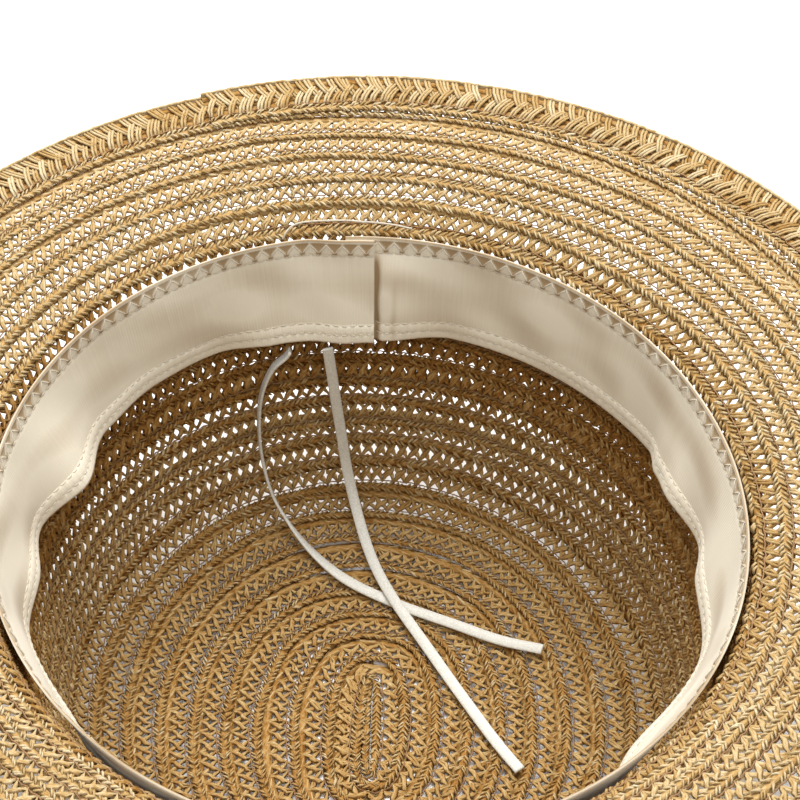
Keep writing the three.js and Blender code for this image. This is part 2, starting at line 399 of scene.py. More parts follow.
@dataclass
class Weave:
    """A heap of strands in braid space, with the faces, fibre coordinates and tints that go with them."""

    places: list[np.ndarray] = field(default_factory=list)
    faces: list[np.ndarray] = field(default_factory=list)
    fibres: list[np.ndarray] = field(default_factory=list)
    tints: list[np.ndarray] = field(default_factory=list)
    count: int = 0

    def add(self, places: np.ndarray, faces: np.ndarray, fibres: np.ndarray, tints: np.ndarray) -> None:
        """Adds a mesh to the heap.

        Args:
            places: its points in braid space.
            faces: four point numbers a face.
            fibres: a pair of coordinates for each corner of each face.
            tints: one number for each point.
        """
        self.places.append(places)
        self.faces.append(faces + self.count)
        self.fibres.append(fibres)
        self.tints.append(tints)
        self.count += len(places)

    def run(self, line: np.ndarray, half_width: np.ndarray, half_thick: np.ndarray,
            sides: int, tints: np.ndarray) -> None:
        """Adds one strand that runs on, or many short ones of the same make.

        Args:
            line: middle points, shaped (strands, stations, 3) in braid space.
            half_width: half the strand's width at each station.
            half_thick: half its thickness at each station.
            sides: how many sides its section has, 3 or 4.
            tints: one number a strand and station.
        """
        strands, stations, _ = line.shape
        run = np.gradient(line[:, :, :2], axis=1)
        run /= np.maximum(np.linalg.norm(run, axis=2, keepdims=True), TINY)
        side = np.stack([-run[..., 1], run[..., 0], np.zeros_like(run[..., 0])], -1)
        up = np.array([0, 0, 1.0])
        turn = np.arange(sides) / sides * FULL_TURN + math.pi / 2
        wide = np.cos(turn)[None, None, :, None] * side[:, :, None, :] * half_width[..., None, None]
        thick = np.sin(turn)[None, None, :, None] * up * half_thick[..., None, None]
        points = line[:, :, None, :] + wide + thick
        wall = tube_faces(stations, sides)
        last = (stations - 1) * sides
        fourth = sides - 1
        caps = np.array([[0, fourth, 2, 1], [last, last + 1, last + 2, last + fourth]])
        if sides == 3:
            caps[0] = [0, 2, 1, 1]
        faces = np.vstack([wall, caps])[:, ::-1]
        travel = np.cumsum(np.linalg.norm(np.diff(line, axis=1, prepend=line[:, :1]), axis=2), axis=1)
        rows = np.repeat(np.arange(stations - 1), sides)
        corner_row = np.stack([rows, rows, rows + 1, rows + 1], -1)[:, ::-1]
        columns = np.tile(np.arange(sides), stations - 1)
        corner_side = np.stack([columns, columns + 1, columns + 1, columns], -1)[:, ::-1] / sides
        along = travel[:, corner_row]
        around = np.broadcast_to(corner_side, along.shape) + np.arange(strands)[:, None, None] * CREASE_SHIFT
        fibres = np.stack([along, around], -1)
        ends = np.zeros((strands, 2, 4, 2))
        fibres = np.concatenate([fibres, ends], 1)
        offset = np.arange(strands)[:, None, None] * stations * sides
        self.add(points.reshape(-1, 3), (faces[None] + offset).reshape(-1, 4),
                 fibres.reshape(-1, 2), np.repeat(tints.reshape(-1), sides))

    def mesh(self, name: str, lay: BraidLay) -> bpy.types.Object:
        """Carries all the strands onto the hat as one mesh.

        Args:
            name: the piece's name.
            lay: how the braid lies.

        Returns:
            The new object, at the origin.
        """
        points = lay.carry(np.concatenate(self.places)) * MM
        return quad_mesh(name, points, np.concatenate(self.faces), np.concatenate(self.fibres),
                         np.concatenate(self.tints))


def quad_mesh(name: str, points: np.ndarray, faces: np.ndarray, fibres: np.ndarray,
              tints: np.ndarray) -> bpy.types.Object:
    """Makes a smooth mesh from rows of corners.

    Args:
        name: the piece's name.
        points: its points in metres.
        faces: four point numbers a face; a repeated last one makes a triangle.
        fibres: a pair of coordinates for each corner of each face.
        tints: one number for each point.

    Returns:
        The new object, at the origin.
    """
    mesh = bpy.data.meshes.new(name)
    keep = np.ones_like(faces, bool)
    keep[:, 3] = faces[:, 3] != faces[:, 2]
    triangle_first = faces[:, 1] == faces[:, 0]
    keep[triangle_first, 0] = False
    totals = keep.sum(1)
    starts = np.concatenate([[0], np.cumsum(totals)[:-1]])
    corners = faces[keep]
    mesh.vertices.add(len(points))
    mesh.vertices.foreach_set("co", points.astype(np.float32).ravel())
    mesh.loops.add(len(corners))
    mesh.loops.foreach_set("vertex_index", corners.astype(np.int32))
    mesh.polygons.add(len(faces))
    mesh.polygons.foreach_set("loop_start", starts.astype(np.int32))
    mesh.polygons.foreach_set("use_smooth", np.ones(len(faces), bool))
    layer = mesh.uv_layers.new(name="fibre")
    layer.uv.foreach_set("vector", fibres.reshape(-1, 4, 2)[keep].astype(np.float32).ravel())
    tint = mesh.attributes.new("tint", "FLOAT", "POINT")
    tint.data.foreach_set("value", tints.astype(np.float32))
    mesh.update(calc_edges=True)
    piece = bpy.data.objects.new(name, mesh)
    bpy.context.collection.objects.link(piece)
    return piece


class Finish:
    """A material and the few nodes that all finishes here share."""

    def __init__(self, name: str, roughness: float) -> None:
        """Starts a material with its shader.

        Args:
            name: the material's name.
            roughness: how rough it is, 0 to 1.
        """
        self.material = bpy.data.materials.new(name)
        self.material.use_nodes = True
        self.tree = self.material.node_tree
        self.shader = self.tree.nodes["Principled BSDF"]
        self.set("Roughness", roughness)

    def set(self, socket: str, value: object) -> None:
        """Sets a number or colour on the shader's own socket."""
        self.shader.inputs[socket].default_value = value

    def node(self, kind: str, **settings: object) -> bpy.types.Node:
        """A new node with its settings.

        Args:
            kind: the node's type.
            settings: what is set on it.

        Returns:
            The node.
        """
        made = self.tree.nodes.new(kind)
        for key, value in settings.items():
            setattr(made, key, value)
        return made

    def link(self, start: bpy.types.NodeSocket, end: bpy.types.NodeSocket) -> None:
        """Joins two sockets."""
        self.tree.links.new(start, end)

    def tint(self) -> bpy.types.NodeSocket:
        """The piece's own tint."""
        return self.node("ShaderNodeAttribute", attribute_name="tint").outputs["Fac"]

    def fibre_noise(self, scale: Triple, detail: float) -> bpy.types.NodeSocket:
        """Noise on a piece's own fibre coordinates.

        Args:
            scale: how fast it changes each way.
            detail: how many finer layers it has.

        Returns:
            Its value.
        """
        place = self.node("ShaderNodeUVMap", uv_map="fibre")
        turn = self.node("ShaderNodeMapping")
        turn.inputs["Scale"].default_value = scale
        noise = self.node("ShaderNodeTexNoise")
        noise.inputs["Scale"].default_value = 1
        noise.inputs["Detail"].default_value = detail
        self.link(place.outputs["UV"], turn.inputs["Vector"])
        self.link(turn.outputs["Vector"], noise.inputs["Vector"])
        return noise.outputs["Fac"]

    def mix(self, source: bpy.types.NodeSocket, share: float,
            other: bpy.types.NodeSocket) -> bpy.types.NodeSocket:
        """A share of one value, added to another.

        Args:
            source: the value that is shared.
            share: how much of it counts.
            other: the value that it is added to.

        Returns:
            The sum.
        """
        made = self.node("ShaderNodeMath", operation="MULTIPLY_ADD")
        made.inputs[1].default_value = share
        self.link(source, made.inputs[0])
        self.link(other, made.inputs[2])
        return made.outputs["Value"]

    def wave(self, source: bpy.types.NodeSocket, pitch: float) -> bpy.types.NodeSocket:
        """A wave of even pitch along a coordinate.

        Args:
            source: the coordinate.
            pitch: the wave's length.

        Returns:
            Its height, -1 to 1.
        """
        turns = self.node("ShaderNodeMath", operation="MULTIPLY")
        turns.inputs[1].default_value = FULL_TURN / pitch
        self.link(source, turns.inputs[0])
        made = self.node("ShaderNodeMath", operation="SINE")
        self.link(turns.outputs["Value"], made.inputs[0])
        return made.outputs["Value"]

    def paint(self, source: bpy.types.NodeSocket, stops: tuple[tuple[float, Colour], ...]) -> None:
        """Colours the surface by a ramp.

        Args:
            source: what the ramp reads.
            stops: pairs of place and colour.
        """
        made = self.node("ShaderNodeValToRGB")
        elements = made.color_ramp.elements
        while len(elements) < len(stops):
            elements.new(0.5)
        for element, (place, colour) in zip(elements, stops):
            element.position = place
            element.color = (*colour, 1)
        self.link(source, made.inputs["Fac"])
        self.link(made.outputs["Color"], self.shader.inputs["Base Color"])

    def bump(self, source: bpy.types.NodeSocket, strength: float, depth_mm: float) -> None:
        """Raises the surface by a pattern.

        Args:
            source: the pattern's height.
            strength: how strongly it shows.
            depth_mm: how deep it is.
        """
        made = self.node("ShaderNodeBump")
        made.inputs["Strength"].default_value = strength
        made.inputs["Distance"].default_value = depth_mm * MM
        self.link(source, made.inputs["Height"])
        self.link(made.outputs["Normal"], self.shader.inputs["Normal"])


@dataclass(frozen=True)
class StrawFinish:
    """Twisted paper straw: strands of uneven tone from pale tan to deep brown, with creases along them that
    carry painted shade.
    """

    thread: Colour = (0.38, 0.22, 0.11)
    # The painted shade of the tip and the wall pulls the straw towards the dark and brown stops.
    dark: Colour = (0.13, 0.045, 0.006)
    brown: Colour = (0.32, 0.155, 0.034)
    middle: Colour = (0.50, 0.335, 0.138)
    pale: Colour = (0.69, 0.58, 0.375)
    thread_end: float = 0.002
    dark_at: float = 0.006
    brown_at: float = 0.28
    middle_at: float = 0.62
    crease_scale: Triple = (0.9, 9.0, 1.0)
    crease_detail: float = 3
    crease_tone_and_shade_share: float = 0.96
    crease_strength: float = 0.8
    crease_depth: float = 0.3
    roughness: float = 0.75
    shine: float = 0.12

    def make(self) -> bpy.types.Material:
        """Builds the material.

        Returns:
            The new material.
        """
        finish = Finish("straw", self.roughness)
        creases = finish.fibre_noise(self.crease_scale, self.crease_detail)
        # The crease noise is both the bump and part of the tone: uneven tone along the strands, and painted
        # shade in the creases.
        finish.paint(finish.mix(creases, self.crease_tone_and_shade_share, finish.tint()), (
            (0.0, self.thread), (self.thread_end, self.thread), (self.dark_at, self.dark),
            (self.brown_at, self.brown), (self.middle_at, self.middle), (1.0, self.pale)))
        finish.bump(creases, self.crease_strength, self.crease_depth)
        finish.set("Specular IOR Level", self.shine)
        return finish.material


@dataclass(frozen=True)
class RibbonFinish:
    """Cream ribbon with fine ribs across its length, and faint tan blotches of painted shade."""

    shade: Colour = (0.36, 0.245, 0.125)
    light: Colour = (0.77, 0.70, 0.56)
    shade_at: float = 0.42
    light_at: float = 1.16
    rib_pitch: float = 0.8
    weft_pitch: float = 0.45
    weft_share: float = 0.4
    rib_strength: float = 0.2
    rib_depth: float = 0.06
    painted_shade_patch_scale: Triple = (0.03, 0.06, 1)
    line_scale: Triple = (1.6, 0.05, 1)
    line_share: float = 0.12
    roughness: float = 0.85
    sheen: float = 0.15

    def make(self) -> bpy.types.Material:
        """Builds the material.

        Returns:
            The new material.
        """
        finish = Finish("ribbon", self.roughness)
        place = finish.node("ShaderNodeUVMap", uv_map="fibre")
        split = finish.node("ShaderNodeSeparateXYZ")
        finish.link(place.outputs["UV"], split.inputs["Vector"])
        ribs = finish.wave(split.outputs["X"], self.rib_pitch)
        weft = finish.wave(split.outputs["Y"], self.weft_pitch)
        # Soft tan blotches of painted shade, as where the ribbon folds.
        painted_shade_patches = finish.fibre_noise(self.painted_shade_patch_scale, 1)
        lines = finish.fibre_noise(self.line_scale, 2)
        tone = finish.mix(finish.mix(lines, self.line_share, painted_shade_patches), 1, finish.tint())
        finish.paint(tone, ((self.shade_at, self.shade), (self.light_at, self.light)))
        finish.bump(finish.mix(weft, self.weft_share, ribs), self.rib_strength, self.rib_depth)
        finish.set("Sheen Weight", self.sheen)
        return finish.material


@dataclass(frozen=True)
class ThreadFinish:
    """Sewing thread, twisted."""

    name: str
    colour: Colour
    twist_scale: float = 900
    shade_share: float = 0.72
    shade_at: float = 0.3
    light_at: float = 0.65
    twist_strength: float = 0.3
    twist_depth: float = 0.1
    roughness: float = 0.6

    def make(self) -> bpy.types.Material:
        """Builds the material.

        Returns:
            The new material.
        """
        finish = Finish(self.name, self.roughness)
        place = finish.node("ShaderNodeTexCoord")
        noise = finish.node("ShaderNodeTexNoise")
        noise.inputs["Scale"].default_value = self.twist_scale
        finish.link(place.outputs["Object"], noise.inputs["Vector"])
        shade = tuple(part * self.shade_share for part in self.colour)
        finish.paint(noise.outputs["Fac"], ((self.shade_at, shade), (self.light_at, self.colour)))
        finish.bump(noise.outputs["Fac"], self.twist_strength, self.twist_depth)
        return finish.material


@dataclass(frozen=True)
class TapeFinish:
    """White woven tape with a fine cross weave."""

    shade: Colour = (0.60, 0.58, 0.50)
    light: Colour = (0.73, 0.71, 0.65)
    shade_at: float = 0.75
    light_at: float = 0.1
    weave_scale: float = 2.4
    weave_strength: float = 0.35
    weave_depth: float = 0.15
    roughness: float = 0.55
    sheen: float = 0.2

    def make(self) -> bpy.types.Material:
        """Builds the material.

        Returns:
            The new material.
        """
        finish = Finish("tape", self.roughness)
        place = finish.node("ShaderNodeUVMap", uv_map="fibre")
        weave = finish.node("ShaderNodeTexVoronoi")
        weave.inputs["Scale"].default_value = self.weave_scale
        finish.link(place.outputs["UV"], weave.inputs["Vector"])
        finish.paint(weave.outputs["Distance"], ((self.light_at, self.light), (self.shade_at, self.shade)))
        finish.bump(weave.outputs["Distance"], self.weave_strength, self.weave_depth)
        finish.set("Sheen Weight", self.sheen)
        return finish.material


class Openness(Enum):
    """How open the braid's lattice is: stations a stitch, and how near its nodes two strands part."""

    LOOSE = (4, 1.6)
    CLOSE = (3, 0.85)


def declare(piece: bpy.types.Object, node: str = "") -> bpy.types.Object:
    """Says which body a piece rides on, and hides the solid that it stands for.

    Args:
        piece: the piece.
        node: the solid, or nothing for a piece that comes on top.

    Returns:
        The piece.
    """
    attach(piece, "root")
    if node:
        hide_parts(node)
    return piece


@dataclass(frozen=True)
class ChainShape:
    """How each arm of a chain's V stitches is laid.

    A place is a share of a stitch along, then millimetres out from the chain's middle and up.
    """

    places: tuple[Triple, ...]
    half_widths: tuple[float, ...]
    twins: tuple[float, ...]
    flatness: float


FULL_CHAIN = ChainShape(((0.4, 0.05, -0.1), (0.17, 0.68, 0.2), (-0.1, 1.34, -0.12)),
                        (0.32, 0.38, 0.34), (-0.18, 0.18), 0.85)
PLAIN_CHAIN = ChainShape(((0.7, 0.2, 0.1), (-0.25, 1.2, 0.0)), (0.6, 0.6), (0,), 0.66)


@dataclass(frozen=True)
class Filling:
    """A flat strand that runs along under others: where it lies, its half width and its tone, which is kept
    low as painted shade.
    """

    across: float
    up: float
    half_width: float = 1.05
    tone: float = 0.12


@dataclass
class Stretch:
    """A stretch of the braid under way: where it starts and ends along the braid, and its strands."""

    start: float
    end: float
    weave: Weave = field(default_factory=Weave)

    def even(self, stations: int) -> np.ndarray:
        """So many places from its start to its end, evenly spread."""
        return np.linspace(self.start, self.end, stations)

    def middles(self, count: int) -> np.ndarray:
        """The middles of so many equal parts of it, one a row."""
        return (self.start + (np.arange(count) + 0.5) * (self.end - self.start) / count)[:, None]


@dataclass
class StrawBraid:
    """The openwork braid: a chain at each edge, a lattice between them and the sewing thread.

    A pair of spans says between which turns something comes on, and between which it goes.
    """

    lay: BraidLay
    chain_middle: float = 1.5
    chain_lift: float = 0.26
    outer_chain_middle: float = 8.6
    outer_chain_lift: float = -0.05
    chain_tone: float = 0.38
    chain_shake: Triple = (0.2, 0.13, 0.12)
    chain_overrun: float = 1
    size_spread: float = 0.08
    tone_spread: float = 0.09
    twin_spread: float = 0.05
    inner_filling: Filling = Filling(1.5, -0.02)
    outer_filling: Filling = Filling(8.3, 0.0, 1.6)
    filling_wander: float = 0.06
    filling_flatness: float = 0.19
    lattice_start: float = 2.9
    lattice_end: float = 7.7
    lattice_half: float = 0.61
    lattice_slimmer: float = 0.09
    lattice_flatness: float = 0.75
    lattice_shake: float = 0.15
    lattice_rise: float = 0.3
    lattice_tone: float = 0.3
    twin_along: float = 0.3
    twin_across: float = 0.22
    twin_rise: float = 0.06
    thread_across: float = 3.2
    thread_rise: float = 0.26
    thread_half: float = 0.2
    thread_wander: float = 0.09
    whole_shade: float = 0.08
    # Painted shade: the straw of the tip and of the crown's wall is darkened where shade falls inside the
    # crown.
    painted_tip_shade: float = 0.19
    painted_tip_shade_span: Span = (9, 12)
    painted_wall_shade: float = 0.58
    painted_wall_shade_spans: tuple[Span, Span] = ((9, 16), (18.6, 20.6))
    wall_mottle: float = 0.15
    wall_slim_spans: tuple[Span, Span] = ((9, 12), (19, 20.3))
    wall_closeness: float = 0.8
    wall_close_spans: tuple[Span, Span] = ((12.7, 13.1), (16, 16.6))
    darkest: float = -0.3
    random: np.random.Generator = field(default_factory=lambda: np.random.default_rng(SEED))

    def run(self, stretch: Stretch, line: np.ndarray, half_width: np.ndarray | float, flatness: float,
            sides: int, tint: np.ndarray) -> None:
        """Adds strands whose tone follows the place on the hat, with painted shade that darkens the straw of
        the crown's wall and of the tip.

        Args:
            stretch: the stretch that they go to.
            line: middle points, shaped (strands, stations, 3).
            half_width: half the width at each station, or one for all.
            flatness: thickness as a share of the width.
            sides: how many sides a strand has.
            tint: one number a strand and station.
        """
        turns = self.lay.turns_at(line[..., 0])
        wall = between(turns, *self.painted_wall_shade_spans)
        tip = 1 - ease(turns, *self.painted_tip_shade_span)
        # Painted shade on the crown's wall and on the tip, added to an even darkening of all the straw.
        shade = self.whole_shade + self.painted_wall_shade * wall + self.painted_tip_shade * tip
        half_width = half_width + np.zeros(line.shape[:2])
        mottle = self.wall_mottle * wall * self.spread(1, *tint.shape)
        toned = np.where(tint > THREAD_TONE, np.maximum(tint - shade + mottle, self.darkest), tint)
        stretch.weave.run(line, half_width, half_width * flatness, sides, toned)

    def spread(self, amount: float, *shape: int) -> np.ndarray:
        """Random numbers on both sides of nothing."""
        return self.random.normal(0, amount, shape)

    def count(self, stretch: Stretch, pitch: float = 1) -> int:
        """How many stitches fit a stretch, or shorter ones at a share of their pitch."""
        return int(round((stretch.end - stretch.start) / (self.lay.stitch * pitch)))

    def chain(self, stretch: Stretch, middle: float, lift: float, shape: ChainShape) -> None:
        """A chain of V-shaped stitches, each with its point onward.

        Args:
            stretch: the stretch that it goes to.
            middle: how far across the braid its middle line lies.
            lift: how far up it lies.
            shape: the full shape, or the plain one of the hidden side.
        """
        count = self.count(stretch)
        along, out, up = np.array(shape.places).T
        half_width = np.array(shape.half_widths)
        for sign in (-1, 1):
            size = 1 + self.spread(self.size_spread, count, 1)
            tone = self.chain_tone + self.spread(self.tone_spread, count, 1)
            for twin in shape.twins:
                line = coordinates(stretch.middles(count) + (along + twin) * self.lay.stitch,
                                   middle + sign * out, lift + up)
                line += self.spread(1, count, 1, 3) * self.chain_shake
                line[..., 0] = np.clip(line[..., 0], stretch.start - self.chain_overrun,
                                       stretch.end + self.chain_overrun)
                tint = tone + self.spread(self.twin_spread, count, 1) + 0 * half_width
                self.run(stretch, line, half_width * size, shape.flatness, 3, tint)

    def fill(self, stretch: Stretch, filling: Filling) -> None:
        """Lays a flat strand, such as the one that closes the middle of a chain's stitches.

        Args:
            stretch: the stretch that it goes to.
            filling: how it is laid.
        """
        stations = self.count(stretch) + 1
        across = filling.across + self.spread(self.filling_wander, stations)
        line = coordinates(stretch.even(stations), across, filling.up)[None]
        tint = filling.tone + self.spread(self.twin_spread, 1, stations)
        self.run(stretch, line, filling.half_width, self.filling_flatness, 4, tint)

    def lattice(self, stretch: Stretch, openness: Openness) -> None:
        """Two mirrored zigzags of doubled strands, which leave two rows of small holes between them.

        Args:
            stretch: the stretch that they go to.
            openness: how open they are.
        """
        steps, parting = openness.value
        count = self.count(stretch)
        stations = count * steps + 1
        phase = np.arange(stations) / steps
        along = stretch.even(stations)
        middle = (self.lattice_start + self.lattice_end) / 2
        reach = (self.lattice_end - self.lattice_start) / 2
        drift = np.interp(phase, np.arange(count + 1), self.spread(self.lattice_shake, count + 1))
        swing = 1 - 2 * np.abs((phase + 1) % 2 - 1)
        turns = self.lay.turns_at(along)
        slim = self.lattice_half - self.lattice_slimmer * between(turns, *self.wall_slim_spans)
        half = slim * (1 + self.wall_closeness * between(turns, *self.wall_close_spans))
        for mirror in (-1, 1):
            wave = mirror * np.sign(swing) * np.abs(swing) ** parting
            slope = 1 - swing**2
            for twin in (-1, 1):
                shake = self.spread(self.lattice_shake, 2, stations)
                line = coordinates(
                    along + twin * self.twin_along * slope + drift + shake[0],
                    middle + wave * (reach - self.twin_across * (twin + 1)) + shake[1],
                    self.lattice_rise * mirror * np.sin(math.pi * phase) + self.twin_rise * twin)[None]
                tint = self.lattice_tone + self.spread(self.tone_spread, 1, stations)
                self.run(stretch, line, half, self.lattice_flatness, 3, tint)

    def sewing(self, stretch: Stretch) -> None:
        """The thread that holds a round to the one inside it.

        Args:
            stretch: the stretch that it goes to.
        """
        stations = 2 * self.count(stretch) + 1
        across = self.thread_across + self.spread(self.thread_wander, stations)
        up = self.thread_rise * (1 + np.cos(math.pi * np.arange(stations)))
        line = coordinates(stretch.even(stations), across, up)[None]
        self.run(stretch, line, self.thread_half, 1, 3, np.full((1, stations), THREAD_TONE))

    def body(self, stretch: Stretch, openness: Openness) -> None:
        """Fills the braid's width from its inner chain to its outer one.

        Args:
            stretch: the stretch that it goes to.
            openness: how open its lattice is.
        """
        self.lattice(stretch, openness)
        self.fill(stretch, self.outer_filling)
        self.chain(stretch, self.outer_chain_middle, self.outer_chain_lift, PLAIN_CHAIN)

    def build(self, name: str, node: str, first: float, last: float,
              openness: Openness = Openness.LOOSE) -> bpy.types.Object:
        """Lays the braid from one turn to another as one piece.

        Args:
            name: the piece's name.
            node: the solid that it stands for.
            first: the turn it starts at.
            last: the turn it ends at.
            openness: how open its lattice is.

        Returns:
            The new object.
        """
        stretch = Stretch(self.lay.length_at(first), self.lay.length_at(last))
        self.chain(stretch, self.chain_middle, self.chain_lift, FULL_CHAIN)
        self.fill(stretch, self.inner_filling)
        self.sewing(stretch)
        self.body(stretch, openness)
        return declare(stretch.weave.mesh(name, self.lay), node)


@dataclass
class RimBraid(StrawBraid):
    """The last round: its whole width shows, with close flat strands in herringbone."""

    outer_chain_lift: float = -0.6
    herring_start: float = 3.0
    herring_end: float = 11.9
    herring_pitch: float = 0.8
    herring_shares: tuple[float, ...] = (0, 0.36, 0.7, 1)
    herring_slant: float = 2.4
    herring_bend: float = 1.5
    herring_lap: float = 1.3
    herring_lift: float = 0.1
    herring_arch: float = 0.25
    herring_over_under: tuple[float, float] = (0.42, -0.1)
    herring_shake: Triple = (0.3, 0.2, 0.1)
    herring_half: float = 0.4
    herring_flatness: float = 0.8
    herring_tone: float = 0.3
    herring_tone_spread: float = 0.1
    herring_twin_along: float = 0.42
    herring_twin_tone: float = 0.04
    under_rows: tuple[float, ...] = (4.2, 6.5, 8.8, 11.0)
    # The strands under the herringbone get the darkest tone, as painted shade.
    under: Triple = (-0.35, 1.3, -0.06)
    edge_rows: tuple[tuple[float, float], ...] = ((12.3, 0.3), (12.2, -0.35))
    edge_wander: float = 0.05
    edge_wave: float = 0.1
    edge_wave_rate: float = 2.1
    edge_half: float = 0.44
    edge_half_spread: float = 0.03
    edge_tone: float = 0.36

    def herringbone(self, stretch: Stretch) -> None:
        """Short flat doubled strands from both edges to the middle, where they lap in turn.

        Args:
            stretch: the stretch that they go to.
        """
        quarter = self.lay.stitch * self.herring_pitch / 4
        count = self.count(stretch, self.herring_pitch)
        middle = (self.herring_start + self.herring_end) / 2
        share = np.array(self.herring_shares)
        arch = self.herring_lift + self.herring_arch * np.sin(share * math.pi)
        half = np.full((count, len(share)), self.herring_half)
        for side, edge in ((1, self.herring_start), (-1, self.herring_end)):
            over = np.where((np.arange(count) + (side > 0)) % 2, *self.herring_over_under)[:, None]
            shake = self.spread(1, count, 1, 3) * self.herring_shake
            tone = self.herring_tone + self.spread(self.herring_tone_spread, count, 1)
            for twin in (-1, 1):
                slant = twin * self.herring_twin_along - self.herring_slant * share**self.herring_bend
                line = shake + coordinates(stretch.middles(count) + slant + side * quarter,
                                           edge + (middle + side * self.herring_lap - edge) * share,
                                           arch + over * share)
                tint = tone + self.herring_twin_tone * twin + 0 * half
                self.run(stretch, line, half, self.herring_flatness, 4, tint)

    def edge(self, stretch: Stretch) -> None:
        """The smooth strands that close the hat's edge.

        Args:
            stretch: the stretch that they go to.
        """
        stations = 3 * self.count(stretch) + 1
        for row, (across, up) in enumerate(self.edge_rows):
            wave = self.edge_wave * np.sin(np.arange(stations) * self.edge_wave_rate + row)
            wander = self.spread(self.edge_wander, stations)
            line = coordinates(stretch.even(stations), across + wander, up + wave)[None]
            half = self.edge_half + self.spread(self.edge_half_spread, 1, stations)
            tint = self.edge_tone + self.spread(self.herring_tone_spread, 1, stations)
            self.run(stretch, line, half, 1, 4, tint)

    def body(self, stretch: Stretch, openness: Openness) -> None:
        """Fills the last round's width with herringbone up to the hat's edge.

        Args:
            stretch: the stretch that it goes to.
            openness: of no use here, because the herringbone is closed.
        """
        self.herringbone(stretch)
        for across in self.under_rows:
            self.fill(stretch, Filling(across, *self.under))
        self.edge(stretch)
        self.chain(stretch, self.outer_chain_middle, self.outer_chain_lift, PLAIN_CHAIN)


@dataclass(frozen=True)
class Pucker:
    """How far the ribbon's free edge leans in at an angle, as a share of its width."""

    degrees: float
    leans_in: float


PUCKERS = (
    Pucker(0, 0.15), Pucker(9, 0.05), Pucker(20, 0.15), Pucker(25, 0.12), Pucker(31, 0.01),
    Pucker(48, 0.02), Pucker(74, 0.02), Pucker(88, 0.17), Pucker(96, 0.19), Pucker(108, 0.14),
    Pucker(119, 0.01), Pucker(132, 0.03), Pucker(146, 0.1), Pucker(160, 0.31), Pucker(172, 0.06),
    Pucker(182, 0.14), Pucker(194, 0.03), Pucker(212, 0.12), Pucker(230, 0.03), Pucker(250, 0.16),
    Pucker(268, 0.05), Pucker(288, 0.13), Pucker(304, 0.04), Pucker(323, 0.25), Pucker(346, 0.08),
)


@dataclass(frozen=True)
class Dent:
    """A soft wave in the ribbon: its length along the ribbon, its start, and how far it stands in."""

    wave: float
    start: float
    depth: float

    def at(self, place: np.ndarray) -> np.ndarray:
        """How far it stands in at a place along the ribbon."""
        return self.depth * (0.5 + 0.5 * np.sin((place + self.start) / self.wave * FULL_TURN))


@dataclass(frozen=True)
class Fold:
    """A slanting wave of light and shade: its shares along and down the ribbon, and its length."""

    along: float
    down: float
    wave: float

    def at(self, along: np.ndarray, down: np.ndarray) -> np.ndarray:
        """Its height at a place on the ribbon."""
        return np.sin((self.along * along + self.down * down) / self.wave * FULL_TURN)


@dataclass(frozen=True)
class SeamLine:
    """A line of shadow that runs down beside the seam."""

    beside: float
    width: float
    strength: float
    span: Span


@dataclass(frozen=True)
class StitchRow:
    """A straight row of machine stitches: how far down it lies, its pitch and a stitch's length."""

    down: float
    pitch: float
    length: float


@dataclass(frozen=True)
class RibbonTones:
    """The ribbon's plain tint, and how much darker or lighter it is in places: painted shade in its pockets,
    stitch grooves, needle holes and folds, a painted shadow beside the seam and painted shade on its top
    edge; the hem is lighter.
    """

    plain: float = 0.5
    back: float = 0.4
    pocket: float = 0.62
    groove: float = 0.12
    seam: float = 0.9
    hem: float = 0.1
    hem_span: float = 0.5
    painted_top_edge_shade: float = 0.7
    painted_top_edge_shade_span: Span = (0.1, 0.5)
    hole: float = 1.6
    folds: float = 0.19
    folds_middle: float = 0.6


DENTS = (Dent(61, 9, 0.55), Dent(37, 21, 0.5), Dent(23, 4, 0.3))
FOLDS = (Fold(0.9, 2, 38), Fold(1, -1.5, 71))
SEAM_LINES = (SeamLine(-0.3, 1.0, 1, (2, 10)), SeamLine(-5.5, 0.9, 0.22, (8, 16)))
STITCH_ROWS = (StitchRow(3.75, 2.4, 2.1), StitchRow(21.9, 2.5, 2.0), StitchRow(24.3, 2.5, 2.0))


